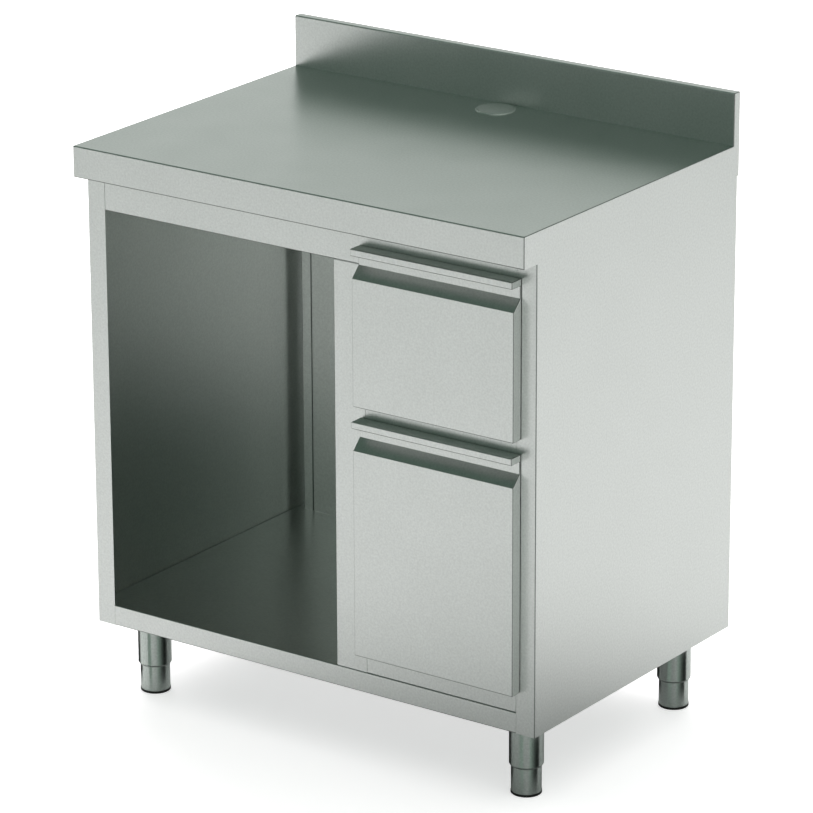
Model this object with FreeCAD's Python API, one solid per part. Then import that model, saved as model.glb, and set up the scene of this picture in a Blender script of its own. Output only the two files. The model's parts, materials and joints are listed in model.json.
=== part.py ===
import FreeCAD, Part
import math
import os

from FreeCAD import Vector

# Waiter service station in folded stainless steel: an open compartment on the left, two deep drawers
# on the right, a worktop with an upstand and a cable outlet, and four adjustable legs.
# Millimetres. X runs to the right along the front, Y to the back, Z up. The origin is on the floor,
# at the centre of the worktop's outline.

# ---------------------------------------------------------------- driving dimensions

# overall
width = 1000.0
depth = 705.0
worktop_height = 1100.0
leg_height = 150.0  # floor to the underside of the carcass

# sheet metal
top_sheet = 1.5
carcass_sheet = 1.2
front_sheet = 1.0
bearer_sheet = 2.0
bend_radius = 0.8  # inside radius of every fold
seam = 0.3  # hairline between sheets that butt
open_seam = 1.0  # visible joint between rails and stiles

# worktop
apron_height = 60.0
apron_overhang = 40.0
apron_lip = 18.0
worktop_end_radius = 1.8
upstand_height = 100.0
upstand_thickness = 20.0
rear_overhang = 5.0  # worktop behind the carcass
board_thickness = 18.0

# cable outlet
outlet_flange_r = 38.0
outlet_flange_height = 2.0
outlet_rim = 3.0
outlet_rim_chamfer = 0.6
outlet_ledge = 0.5
outlet_tube_r = 30.0
outlet_tube_wall = 2.0
outlet_to_upstand = 4.0
lid_wall = 1.2
lid_skirt_depth = 8.0
lid_clearance = 0.4

# carcass
stile_width = 40.0
rear_flange = 20.0
deck_edge = 40.0
deck_lip = 15.0
deck_side_flange = 15.0
compartment_width = 522.0
divider_width = 68.0
top_rail_visible = 67.0
rail_depth = 30.0
mid_rail_height = 40.0
lower_rail_height = 51.0
splice_length = 15.0
rail_tab_inset = 4.0
back_setback = 30.0  # rear edge of the carcass to the front face of the back panel
corner_gap = 19.0  # recess between a side panel and the corner upright
upright_width = 23.0
upright_return = 12.0  # of the upright and of the back panel, where they meet
rear_rail_overlap = 12.0  # of the rear rails in front of the back panel
rear_rail_depth = 25.0
rear_rail_to_outlet = 20.0  # room for cables beside the outlet's tube
wall_foot = 15.0

# runner posts on the right side
post_width = 40.0
front_post_setback = 40.0
rear_post_setback = 500.0

# drawer fronts
front_gap = 1.5
front_depth = 22.7
front_over_divider = 10.1
front_over_stile = 7.7
lower_front_start = 40.4  # deck top to the lower front's bottom edge
lower_front_height = 453.7
front_below_apron = 30.9
between_fronts = 27.0
lip_height = 13.5
lip_proud = 5.0
neck_height = 22.5
neck_to_back = 2.0
front_edge_radius = 1.6

# drawer boxes
box_sheet = 1.0
box_depth = 548.0
box_headroom = 46.0  # rim of a box to the rail above it
box_rise = 10.0  # rail under the box to the box's floor
box_rim = 10.0
box_corner_r = 4.0
buffer_r = 3.0
buffer_from_edge = 15.0
buffer_clearance = 0.3

# telescopic runners
runner_length = 550.0
runner_height = 45.0
runner_thickness = 12.7
runner_sheet = 1.2
runner_play = 0.3
runner_setback = 6.0
runner_above_floor = 45.0
runner_end_step = 4.0
runner_web_gap = 1.0
runner_edge_gap = 0.8

# legs
leg_from_side = 71.0
leg_from_front = 80.0
leg_from_rear = 80.0
sleeve_r = 32.0
sleeve_visible = 95.0
sleeve_chamfer = 4.0
sleeve_taper = 2.5
foot_r = 28.25
foot_wall = 1.5
foot_play = 0.3
foot_below_plate = 25.0
foot_cap = 3.0
foot_tip_height = 5.0
foot_tip_r = 29.0
foot_tip_plug = 14.0
foot_tip_chamfer = 1.0
leg_plate = 80.0
leg_plate_thickness = 3.0
leg_plate_rise = 7.0
insert_thickness = 12.0
insert_gap = 6.0
stud_r = 8.0
stud_play = 0.05
stud_height = 54.0
stud_hole_play = 1.5
bearer_width = 90.0

# fasteners
m4_r = 2.0
m4_head_r = 3.8
m4_head_height = 2.6
m4_length = 14.0
m8_r = 4.0
m8_head_r = 7.5
m8_head_height = 4.5
m8_length = 16.0
m8_nut_height = 6.0
leg_screw_pitch = 60.0
rivet_r = 2.0
rivet_head_r = 4.0
rivet_head_height = 1.2
rivet_bulb_r = 3.0
rivet_from_end = 60.0
rivets_per_rail = 4  # into the back panel, and one more into the upright
screw_play = 0.2
rail_screw_from_end = 60.0
rear_rail_screw_pitch = 270.0
drawer_screw_inset = 35.0
runner_screw_spread = 10.0
runner_screw_head_r = 4.0
runner_screw_head_height = 1.0
runner_screw_length = 6.0

# ---------------------------------------------------------------- derived planes

side_x = width / 2
inside_x = side_x - carcass_sheet
apron_y = -depth / 2
face_y = apron_y + apron_overhang
worktop_rear_y = depth / 2
rear_y = worktop_rear_y - rear_overhang
upstand_y = worktop_rear_y - upstand_thickness

apron_bottom = worktop_height - apron_height
board_top = worktop_height - top_sheet
board_bottom = board_top - board_thickness
deck_top = leg_height + deck_edge
opening_top = apron_bottom - top_rail_visible
carcass_top = apron_bottom - carcass_sheet
rear_rail_bottom = carcass_top - rear_rail_overlap

stile_x = side_x - stile_width
divider_left = -stile_x + compartment_width
divider_right = divider_left + divider_width
face_inner_y = face_y + carcass_sheet
back_y = rear_y - back_setback
upright_x = inside_x - corner_gap
upright_edge_x = upright_x - upright_width
panel_edge_x = upright_edge_x - seam
rear_rail_start = outlet_tube_r + rear_rail_to_outlet
inner_rear_y = worktop_rear_y - top_sheet
before_rear_bend_y = rear_y - carcass_sheet - bend_radius
behind_front_bend_y = face_inner_y + bend_radius

front_left = divider_right - front_over_divider
front_right = stile_x + front_over_stile
front_back_y = face_y - front_gap
front_face_y = front_back_y - front_depth
lower_front_bottom = deck_top + lower_front_start
lower_front_top = lower_front_bottom + lower_front_height
upper_front_bottom = lower_front_top + between_fronts
upper_front_top = apron_bottom - front_below_apron

mid_rail_centre = (lower_front_top + upper_front_bottom) / 2
mid_rail_bottom = mid_rail_centre - mid_rail_height / 2
mid_rail_top = mid_rail_centre + mid_rail_height / 2
lower_rail_top = deck_top + lower_rail_height

box_left = divider_right + runner_thickness
box_right = stile_x - runner_thickness
upper_box_bottom = mid_rail_top + box_rise
lower_box_bottom = lower_rail_top + box_rise
upper_box_height = opening_top - box_headroom - upper_box_bottom
lower_box_height = mid_rail_bottom - box_headroom - lower_box_bottom

leg_x = side_x - leg_from_side
leg_front_y = face_y + leg_from_front
leg_rear_y = rear_y - leg_from_rear
leg_places = {
    "front_left": (-leg_x, leg_front_y),
    "front_right": (leg_x, leg_front_y),
    "rear_left": (-leg_x, leg_rear_y),
    "rear_right": (leg_x, leg_rear_y),
}
sleeve_inner_r = foot_r + foot_play
sleeve_bottom = leg_height - sleeve_visible
plate_bottom = leg_height + leg_plate_rise
foot_top = plate_bottom - foot_below_plate
bearer_bottom = plate_bottom + leg_plate_thickness
insert_bottom = foot_top + insert_gap

outlet_y = upstand_y - outlet_to_upstand - outlet_flange_r
outlet_bore_r = outlet_tube_r - outlet_tube_wall

# ---------------------------------------------------------------- shape helpers


def save(node, *solids):
    shape = solids[0] if len(solids) == 1 else Part.makeCompound(list(solids))
    shape.exportStep(os.path.join("parts", node + ".step"))


def block(x_range, y_range, z_range):
    (x0, x1), (y0, y1), (z0, z1) = x_range, y_range, z_range
    return Part.makeBox(x1 - x0, y1 - y0, z1 - z0, Vector(x0, y0, z0))


def disc(radius, centre, z_range):
    z0, z1 = z_range
    return Part.makeCylinder(radius, z1 - z0, Vector(centre[0], centre[1], z0))


def rod(radius, start, direction, length):
    return Part.makeCylinder(radius, length, start, direction)


def fuse(*solids):
    return solids[0].multiFuse(list(solids[1:])).removeSplitter()


def mirrored(solid):
    """The same piece on the other side of the station's centre plane."""
    return solid.mirror(Vector(0, 0, 0), Vector(1, 0, 0))


def unit(start, end):
    length = math.dist(start, end)
    return ((end[0] - start[0]) / length, (end[1] - start[1]) / length)


def offset_path(path, distance):
    """The path moved sideways to its left by distance, with mitred corners."""
    runs = [unit(a, b) for a, b in zip(path, path[1:])]
    moved = []
    for i, (u, v) in enumerate(path):
        before = runs[max(i - 1, 0)]
        after = runs[min(i, len(runs) - 1)]
        scale = distance / (1 + before[0] * after[0] + before[1] * after[1])
        moved.append((u - (before[1] + after[1]) * scale, v + (before[0] + after[0]) * scale))
    return moved


def turn(before, corner, after):
    """Signed angle of a path's turn at a corner, positive to the left."""
    a = unit(before, corner)
    b = unit(corner, after)
    return math.atan2(a[0] * b[1] - a[1] * b[0], a[0] * b[0] + a[1] * b[1])


def fold_radii(path, at_left_turn, at_right_turn):
    """Radius at each point of a path: none at its ends, and one for each way that it can turn."""
    radii = [0.0]
    for corner in zip(path, path[1:], path[2:]):
        radii.append(at_left_turn if turn(*corner) > 0 else at_right_turn)
    return radii + [0.0]


def rounded_wire(points, radii, place):
    """Closed wire through points, with an arc of the given radius at each corner."""
    count = len(points)
    edges = []
    ends = []
    for i, corner in enumerate(points):
        before = points[i - 1]
        after = points[(i + 1) % count]
        angle = abs(turn(before, corner, after))
        reach = radii[i] * math.tan(angle / 2)
        back = unit(corner, before)
        ahead = unit(corner, after)
        start = (corner[0] + back[0] * reach, corner[1] + back[1] * reach)
        end = (corner[0] + ahead[0] * reach, corner[1] + ahead[1] * reach)
        ends.append((start, end))
        if reach > 0:
            towards = unit(corner, ((start[0] + end[0]) / 2, (start[1] + end[1]) / 2))
            bulge = radii[i] / math.cos(angle / 2) - radii[i]
            middle = (corner[0] + towards[0] * bulge, corner[1] + towards[1] * bulge)
            edges.append(Part.Arc(place(*start), place(*middle), place(*end)).toShape())
    for i in range(count):
        start = place(*ends[i][1])
        end = place(*ends[(i + 1) % count][0])
        edges.append(Part.LineSegment(start, end).toShape())
    return Part.Wire(Part.__sortEdges__(edges))


def prism_x(points, radii, x_range):
    """Solid whose outline of (y, z) points runs along X."""
    x0, x1 = x_range
    wire = rounded_wire(points, radii, lambda u, v: Vector(x0, u, v))
    return Part.Face(wire).extrude(Vector(x1 - x0, 0, 0))


def prism_y(points, radii, y_range):
    """Solid whose outline of (x, z) points runs along Y."""
    y0, y1 = y_range
    wire = rounded_wire(points, radii, lambda u, v: Vector(u, y0, v))
    return Part.Face(wire).extrude(Vector(0, y1 - y0, 0))


def prism_z(points, radii, z_range):
    """Solid whose outline of (x, y) points runs along Z."""
    z0, z1 = z_range
    wire = rounded_wire(points, radii, lambda u, v: Vector(u, v, z0))
    return Part.Face(wire).extrude(Vector(0, 0, z1 - z0))


def folded(prism, path, sheet, reach):
    """Folded sheet: path is the section of the sheet's near face, and the metal lies to its left."""
    near = fold_radii(path, bend_radius + sheet, bend_radius)
    far = fold_radii(path, bend_radius, bend_radius + sheet)
    return prism(path + offset_path(path, sheet)[::-1], near + far[::-1], reach)


def turned(profile, centre):
    """Solid of revolution: profile lists (radius, z), and centre is the axis's (x, y)."""
    points = [Vector(r, 0, z) for r, z in profile]
    face = Part.Face(Part.makePolygon(points + points[:1]))
    solid = face.revolve(Vector(0, 0, 0), Vector(0, 0, 1), 360)
    solid.translate(Vector(centre[0], centre[1], 0))
    return solid


def hexagon(radius, centre, z_range):
    corners = []
    for i in range(6):
        angle = math.radians(60 * i)
        corners.append((centre[0] + radius * math.cos(angle), centre[1] + radius * math.sin(angle)))
    return prism_z(corners, [0.0] * 6, z_range)


def rounded_block(x_range, y_range, z_range, radius):
    """Block with its four upright corners rounded."""
    (x0, x1), (y0, y1) = x_range, y_range
    return prism_z([(x0, y0), (x1, y0), (x1, y1), (x0, y1)], [radius] * 4, z_range)


def drilled(solid, *cutters):
    return solid.cut(list(cutters)) if cutters else solid


UP = Vector(0, 0, 1)
BACKWARDS = Vector(0, 1, 0)
FORWARDS = Vector(0, -1, 0)


# ---------------------------------------------------------------- fastener places

def along(start, end, count):
    return [start + (end - start) * i / (count - 1) for i in range(count)]


top_rail_screw_places = [
    (x, face_y + rail_depth / 2)
    for x in along(-stile_x + rail_screw_from_end, stile_x - rail_screw_from_end, 4)
]
rear_rail_screw_places = [
    (side * (outlet_tube_r + rail_screw_from_end + further), back_y - rear_rail_depth / 2)
    for side in (-1, 1)
    for further in (0, rear_rail_screw_pitch)
]
board_screw_places = top_rail_screw_places + rear_rail_screw_places
rivet_columns = along(rear_rail_start + rivet_from_end, panel_edge_x - rivet_from_end, rivets_per_rail)
rivet_columns.append(upright_edge_x + upright_width / 2)
rivet_places = [
    (side * x, carcass_top - rear_rail_overlap / 2) for side in (-1, 1) for x in rivet_columns
]
leg_screw_offsets = [
    (a * leg_screw_pitch / 2, b * leg_screw_pitch / 2) for a in (-1, 1) for b in (-1, 1)
]
post_centres = [face_y + setback + post_width / 2 for setback in (front_post_setback, rear_post_setback)]
runner_levels = [upper_box_bottom + runner_above_floor, lower_box_bottom + runner_above_floor]
runner_screw_places = [
    (y, z + side * runner_screw_spread)
    for y in post_centres
    for z in runner_levels
    for side in (-1, 1)
]


# ---------------------------------------------------------------- worktop

def make_worktop():
    """One sheet folded down on all sides and up into a hollow upstand, with corners welded and ground."""
    upstand_top = worktop_height + upstand_height
    outer_bend = bend_radius + top_sheet
    outline = [
        (apron_y, apron_bottom),
        (worktop_rear_y, apron_bottom),
        (worktop_rear_y, upstand_top),
        (upstand_y, upstand_top),
        (upstand_y, worktop_height),
        (apron_y, worktop_height),
    ]
    outer_radii = [0.0, 0.0, outer_bend, outer_bend, bend_radius, outer_bend]
    outer = prism_x(outline, outer_radii, (-side_x, side_x))
    ends = [
        edge
        for edge in outer.Edges
        if edge.BoundBox.XLength < 0.001 and edge.BoundBox.ZMax > apron_bottom + 0.001
    ]
    outer = outer.makeFillet(worktop_end_radius, ends)
    around = [
        (apron_y, apron_bottom),
        (worktop_rear_y, apron_bottom),
        (worktop_rear_y, upstand_top),
        (apron_y, upstand_top),
    ]
    outer = outer.common(prism_x(around, [outer_bend, 0.0, 0.0, 0.0], (-side_x, side_x)))

    start = (worktop_rear_y, apron_bottom - top_sheet)
    end = (apron_y, apron_bottom - top_sheet)
    open_path = [start] + outline[2:] + [end]
    inner_radii = [0.0, bend_radius, bend_radius, outer_bend, bend_radius, 0.0]
    inner = prism_x(
        offset_path(open_path, top_sheet), inner_radii, (-side_x + top_sheet, side_x - top_sheet)
    )
    lip_path = [
        (apron_y, apron_bottom + 2 * outer_bend),
        (apron_y, apron_bottom),
        (apron_y + apron_lip, apron_bottom),
    ]
    lip = folded(prism_x, lip_path, top_sheet, (-side_x + top_sheet, side_x - top_sheet))
    outlet = disc(outlet_tube_r + seam, (0, outlet_y), (board_bottom, worktop_height))
    save("worktop", fuse(outer.cut(inner), lip).cut(outlet))


def make_worktop_board():
    inside = (-side_x + top_sheet, side_x - top_sheet)
    board = block(inside, (apron_y + top_sheet, inner_rear_y), (board_bottom, board_top))
    outlet = disc(outlet_tube_r + seam, (0, outlet_y), (board_bottom, board_top))
    fold = block(
        inside,
        (apron_y + top_sheet, apron_y + top_sheet + bend_radius),
        (board_top - bend_radius, board_top),
    )
    pilots = [
        rod(m4_r, Vector(x, y, board_bottom), UP, m4_length - carcass_sheet)
        for x, y in board_screw_places
    ]
    save("worktop_board", drilled(board, outlet, fold, *pilots))


def make_cable_outlet():
    """A flanged ring in the worktop, and the loose lid that drops into its rim."""
    ledge_z = worktop_height + outlet_ledge
    rim_z = worktop_height + outlet_flange_height
    rim_r = outlet_flange_r - outlet_rim
    ring = [
        (outlet_bore_r, board_bottom),
        (outlet_tube_r, board_bottom),
        (outlet_tube_r, worktop_height),
        (outlet_flange_r, worktop_height),
        (outlet_flange_r, rim_z - outlet_rim_chamfer),
        (outlet_flange_r - outlet_rim_chamfer, rim_z),
        (rim_r, rim_z),
        (rim_r, ledge_z),
        (outlet_bore_r, ledge_z),
    ]
    lid_r = rim_r - lid_clearance
    skirt_r = outlet_bore_r - lid_clearance
    lid_under = ledge_z + lid_clearance
    lid = [
        (0, lid_under),
        (skirt_r - lid_wall, lid_under),
        (skirt_r - lid_wall, lid_under - lid_skirt_depth),
        (skirt_r, lid_under - lid_skirt_depth),
        (skirt_r, lid_under),
        (lid_r, lid_under),
        (lid_r, rim_z),
        (0, rim_z),
    ]
    save("cable_outlet_ring", turned(ring, (0, outlet_y)))
    save("cable_outlet_lid", turned(lid, (0, outlet_y)))


# ---------------------------------------------------------------- carcass

def make_side_panels():
    """Side sheet with its front stile and rear flange, and a flange on top that the worktop rests on."""
    path = [
        (stile_x, face_y),
        (side_x, face_y),
        (side_x, rear_y),
        (side_x - rear_flange, rear_y),
    ]
    panel = folded(prism_z, path, carcass_sheet, (leg_height, apron_bottom))
    top_flange = block(
        (side_x - rear_flange, side_x - carcass_sheet / 2),
        (behind_front_bend_y, before_rear_bend_y),
        (carcass_top, apron_bottom),
    )
    right = fuse(panel, top_flange)
    save("side_panel_right", right)
    save("side_panel_left", mirrored(right))


def make_base_deck():
    """Floor of the station: a tray turned upside down, flanged at its sides, notched round the stiles."""
    path = [
        (before_rear_bend_y, leg_height),
        (before_rear_bend_y, deck_top),
        (face_y, deck_top),
        (face_y, leg_height),
        (face_y + deck_lip, leg_height),
    ]
    flange_start = inside_x - carcass_sheet - bend_radius
    deck = folded(prism_x, path, carcass_sheet, (-flange_start, flange_start))
    side_path = [
        (inside_x, deck_top - deck_side_flange),
        (inside_x, deck_top),
        (flange_start - bend_radius, deck_top),
    ]
    side_y = (behind_front_bend_y, before_rear_bend_y - carcass_sheet - bend_radius)
    side = folded(prism_y, side_path, carcass_sheet, side_y)
    notch = block(
        (stile_x - seam, side_x), (face_y, behind_front_bend_y), (leg_height, deck_top)
    )
    deck = fuse(deck, side, mirrored(side))
    save("base_deck", drilled(deck, notch, mirrored(notch)))


def make_rail(x_range, z_range):
    """Channel of the face frame, with a tab at each end that is welded behind its neighbour."""
    (x0, x1), (z0, z1) = x_range, z_range
    path = [
        (face_y + rail_depth, z1),
        (face_y, z1),
        (face_y, z0),
        (face_y + rail_depth, z0),
    ]
    rail = folded(prism_x, path, carcass_sheet, (x0 + open_seam, x1 - open_seam))
    tab_y = (face_inner_y, face_inner_y + carcass_sheet)
    tab_z = (z0 + rail_tab_inset, z1 - rail_tab_inset)
    left = block((x0 - splice_length, x0 + open_seam + splice_length), tab_y, tab_z)
    right = block((x1 - open_seam - splice_length, x1 + splice_length), tab_y, tab_z)
    return fuse(rail, left, right)


def make_face_frame():
    top_rail = make_rail((-stile_x, stile_x), (opening_top, board_bottom))
    holes = [
        rod(m4_r + screw_play, Vector(x, y, board_bottom), -UP, 2 * carcass_sheet)
        for x, y in top_rail_screw_places
    ]
    save("top_rail", drilled(top_rail, *holes))
    save("middle_rail", make_rail((divider_right, stile_x), (mid_rail_bottom, mid_rail_top)))
    save("lower_rail", make_rail((divider_right, stile_x), (deck_top, lower_rail_top)))


def make_divider():
    """The compartment's right wall and the wide stile, in one sheet, and the wall on the drawer side."""
    head = opening_top - open_seam
    rear_rail_notch = block(
        (divider_left, divider_right),
        (back_y - rear_rail_depth - seam, back_y),
        (rear_rail_bottom - seam, board_bottom),
    )
    path = [
        (divider_left, back_y),
        (divider_left, face_y),
        (divider_right, face_y),
    ]
    sheet = folded(prism_z, path, carcass_sheet, (deck_top + open_seam, head))
    wall_x = (divider_left, divider_left + carcass_sheet)
    upper_wall = block(wall_x, (face_y + rail_depth + seam, back_y), (head, board_bottom))
    foot_y = (face_inner_y + carcass_sheet, back_y)
    foot_z = (deck_top, deck_top + carcass_sheet)
    foot = block((divider_left, divider_left + wall_foot), foot_y, foot_z)
    brow = block(
        (divider_left + rail_tab_inset, divider_right - rail_tab_inset),
        (face_inner_y, face_y + rail_depth),
        (opening_top - carcass_sheet, opening_top),
    )
    brow_tab = block(
        (divider_left + rail_tab_inset, divider_right - rail_tab_inset),
        (face_inner_y, face_inner_y + carcass_sheet),
        (opening_top - splice_length, opening_top),
    )
    save("divider", fuse(sheet, upper_wall, foot, brow, brow_tab).cut(rear_rail_notch))

    wall_front = face_inner_y + carcass_sheet + seam
    wall_head = opening_top - carcass_sheet - seam
    outline = [
        (wall_front, deck_top),
        (back_y, deck_top),
        (back_y, board_bottom),
        (face_y + rail_depth + seam, board_bottom),
        (face_y + rail_depth + seam, wall_head),
        (wall_front, wall_head),
    ]
    wall = prism_x(outline, [0.0] * 6, (divider_right - carcass_sheet, divider_right))
    wall_foot_block = block((divider_right - wall_foot, divider_right), (wall_front, back_y), foot_z)
    holes = [
        rod(m4_r, Vector(divider_right - carcass_sheet, y, z), Vector(1, 0, 0), carcass_sheet)
        for y, z in runner_screw_places
    ]
    save("drawer_wall", drilled(fuse(wall, wall_foot_block), rear_rail_notch, *holes))


def make_runner_posts():
    """Two posts on the right side that carry the drawer runners in line with the stile."""
    for name, centre in zip(("front", "rear"), post_centres):
        y0 = centre - post_width / 2
        y1 = centre + post_width / 2
        path = [(inside_x, y1), (stile_x, y1), (stile_x, y0), (inside_x, y0)]
        post = folded(prism_z, path, carcass_sheet, (deck_top, carcass_top))
        holes = [
            rod(m4_r, Vector(stile_x, y, z), Vector(1, 0, 0), carcass_sheet)
            for y, z in runner_screw_places
            if y == centre
        ]
        save("runner_post_" + name, drilled(post, *holes))


def make_back():
    """Back panel, the corner uprights that stand clear of the side panels, and the rails at the top."""
    return_y = back_y + upright_return
    panel_path = [
        (-panel_edge_x, return_y),
        (-panel_edge_x, back_y),
        (panel_edge_x, back_y),
        (panel_edge_x, return_y),
    ]
    panel = folded(prism_z, panel_path, carcass_sheet, (deck_top + seam, carcass_top))
    holes = [rod(rivet_r, Vector(x, back_y, z), BACKWARDS, carcass_sheet) for x, z in rivet_places]
    save("back_panel", drilled(panel, *holes))

    upright_rear_y = rear_y - 2 * carcass_sheet
    upright_path = [
        (-inside_x + bend_radius, upright_rear_y),
        (-upright_x, upright_rear_y),
        (-upright_x, back_y),
        (-upright_edge_x, back_y),
        (-upright_edge_x, return_y),
    ]
    upright = folded(prism_z, upright_path, carcass_sheet, (deck_top, carcass_top))
    upright = drilled(upright, *holes)
    save("rear_upright_left", upright)
    save("rear_upright_right", mirrored(upright))

    rail_path = [
        (back_y - rear_rail_depth, rear_rail_bottom),
        (back_y, rear_rail_bottom),
        (back_y, board_bottom),
        (back_y - rear_rail_depth, board_bottom),
    ]
    rail_end_x = side_x - rear_flange - seam
    rail = folded(prism_x, rail_path, carcass_sheet, (-rail_end_x, -rear_rail_start))
    screw_holes = [
        rod(m4_r + screw_play, Vector(x, y, board_bottom), -UP, 2 * carcass_sheet)
        for x, y in rear_rail_screw_places
        if x < 0
    ]
    rivet_holes = [
        rod(rivet_r, Vector(x, back_y, z), FORWARDS, carcass_sheet) for x, z in rivet_places if x < 0
    ]
    rail = drilled(rail, *screw_holes, *rivet_holes)
    save("rear_rails", rail, mirrored(rail))


def make_bearers():
    """Channels under the deck, front to back, that the legs are bolted to."""
    for name, side in (("left", -1), ("right", 1)):
        x0 = side * leg_x - bearer_width / 2
        x1 = side * leg_x + bearer_width / 2
        under_deck = deck_top - carcass_sheet
        path = [(x0, under_deck), (x0, bearer_bottom), (x1, bearer_bottom), (x1, under_deck)]
        rear_end = before_rear_bend_y - carcass_sheet - bend_radius
        channel = folded(prism_y, path, bearer_sheet, (behind_front_bend_y, rear_end))
        cutters = []
        for x, y in leg_places.values():
            if x * side < 0:
                continue
            web = (bearer_bottom, bearer_bottom + bearer_sheet)
            cutters.append(disc(stud_r + stud_hole_play, (x, y), web))
            for dx, dy in leg_screw_offsets:
                cutters.append(disc(m8_r + screw_play, (x + dx, y + dy), web))
        save("bearer_" + name, drilled(channel, *cutters))


# ---------------------------------------------------------------- legs

def make_legs():
    """Fixed sleeves with a plate and a threaded insert, and the feet that screw out of them."""
    inserts = []
    screws = []
    for name, (x, y) in leg_places.items():
        sleeve = turned(
            [
                (sleeve_inner_r, sleeve_bottom),
                (sleeve_r - sleeve_taper, sleeve_bottom),
                (sleeve_r, sleeve_bottom + sleeve_chamfer),
                (sleeve_r, plate_bottom),
                (sleeve_inner_r, plate_bottom),
            ],
            (x, y),
        )
        plate = block(
            (x - leg_plate / 2, x + leg_plate / 2),
            (y - leg_plate / 2, y + leg_plate / 2),
            (plate_bottom, bearer_bottom),
        )
        holes = [disc(stud_r + stud_hole_play, (x, y), (plate_bottom, bearer_bottom))]
        for dx, dy in leg_screw_offsets:
            holes.append(disc(m8_r + screw_play, (x + dx, y + dy), (plate_bottom, bearer_bottom)))
        save("leg_sleeve_" + name, drilled(fuse(sleeve, plate), *holes))

        insert = disc(sleeve_inner_r, (x, y), (insert_bottom, insert_bottom + insert_thickness))
        bore = disc(stud_r + stud_play, (x, y), (insert_bottom, insert_bottom + insert_thickness))
        inserts.append(insert.cut(bore))
        screws += make_leg_screws(x, y)
        make_foot(name, x, y)
    save("leg_inserts", *inserts)
    save("leg_screws", *screws)


def make_leg_screws(x, y):
    solids = []
    nut_bottom = bearer_bottom + bearer_sheet
    for dx, dy in leg_screw_offsets:
        place = (x + dx, y + dy)
        head = hexagon(m8_head_r, place, (plate_bottom - m8_head_height, plate_bottom))
        shank = disc(m8_r, place, (plate_bottom, plate_bottom + m8_length))
        nut = hexagon(m8_head_r, place, (nut_bottom, nut_bottom + m8_nut_height))
        solids += [fuse(head, shank), nut.cut(shank)]
    return solids


def make_foot(name, x, y):
    """Adjustable lower tube with its stud, and the plastic tip pressed into it."""
    bore_r = foot_r - foot_wall
    tube = [
        (bore_r, foot_tip_height),
        (foot_r, foot_tip_height),
        (foot_r, foot_top),
        (stud_r, foot_top),
        (stud_r, foot_top + stud_height),
        (0, foot_top + stud_height),
        (0, foot_top - foot_cap),
        (bore_r, foot_top - foot_cap),
    ]
    tip = [
        (0, 0),
        (foot_tip_r - foot_tip_chamfer, 0),
        (foot_tip_r, foot_tip_chamfer),
        (foot_tip_r, foot_tip_height),
        (bore_r, foot_tip_height),
        (bore_r, foot_tip_height + foot_tip_plug),
        (0, foot_tip_height + foot_tip_plug),
    ]
    save("foot_" + name, turned(tube, (x, y)))
    save("foot_tip_" + name, turned(tip, (x, y)))


# ---------------------------------------------------------------- drawers

def make_drawer_front(name, bottom, top):
    """Hollow front: flat panel, bevel back to a neck, and a lip that stands forward over the grip."""
    neck_y = front_back_y - neck_to_back
    neck_top = top - lip_height
    neck_bottom = neck_top - neck_height
    bevel_bottom = neck_bottom - (neck_y - front_face_y)
    lip_y = front_face_y - lip_proud
    folds = [
        (lip_y, top),
        (lip_y, neck_top),
        (neck_y, neck_top),
        (neck_y, neck_bottom),
        (front_face_y, bevel_bottom),
        (front_face_y, bottom),
    ]
    outer_path = [(front_back_y, top)] + folds + [(front_back_y, bottom)]
    outer_radii = fold_radii(outer_path, bend_radius + front_sheet, bend_radius)
    outer = prism_x(outer_path, outer_radii, (front_left, front_right))
    rim = [
        edge
        for edge in outer.Edges
        if edge.BoundBox.XLength < 0.001 and edge.BoundBox.YMin < front_back_y - 0.001
    ]
    outer = outer.makeFillet(front_edge_radius, rim)
    open_path = [(front_back_y + front_sheet, top)] + folds + [(front_back_y + front_sheet, bottom)]
    inner_path = offset_path(open_path, front_sheet)
    inner_radii = fold_radii(open_path, bend_radius, bend_radius + front_sheet)
    inner = prism_x(inner_path, inner_radii, (front_left + front_sheet, front_right - front_sheet))
    save(name + "_front", outer.cut(inner))


def drawer_screw_places(box_bottom, box_height):
    return [
        (x, z)
        for x in (box_left + drawer_screw_inset, box_right - drawer_screw_inset)
        for z in (box_bottom + drawer_screw_inset, box_bottom + box_height - drawer_screw_inset)
    ]


def make_drawer_liner(name, bottom, top, box_bottom, box_height):
    inset = front_sheet + seam
    liner = block(
        (front_left + inset, front_right - inset),
        (front_back_y - front_sheet, front_back_y),
        (bottom + inset, top - inset),
    )
    holes = [
        rod(m4_r, Vector(x, front_back_y, z), FORWARDS, front_sheet)
        for x, z in drawer_screw_places(box_bottom, box_height)
    ]
    save(name + "_liner", drilled(liner, *holes))


def make_drawer_box(name, box_bottom, box_height):
    """Open box with a rim folded inwards round its mouth."""
    y_range = (front_back_y, front_back_y + box_depth)
    box_top = box_bottom + box_height
    outer = rounded_block((box_left, box_right), y_range, (box_bottom, box_top), box_corner_r)

    def inset(amount):
        return (box_left + amount, box_right - amount), (y_range[0] + amount, y_range[1] - amount)

    hollow = rounded_block(
        *inset(box_sheet), (box_bottom + box_sheet, box_top - box_sheet), box_corner_r - box_sheet
    )
    mouth = rounded_block(*inset(box_rim), (box_top - box_sheet, box_top), box_corner_r)
    holes = [
        rod(m4_r, Vector(x, front_back_y, z), BACKWARDS, box_sheet)
        for x, z in drawer_screw_places(box_bottom, box_height)
    ]
    save(name + "_box", drilled(outer, hollow, mouth, *holes))


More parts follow.
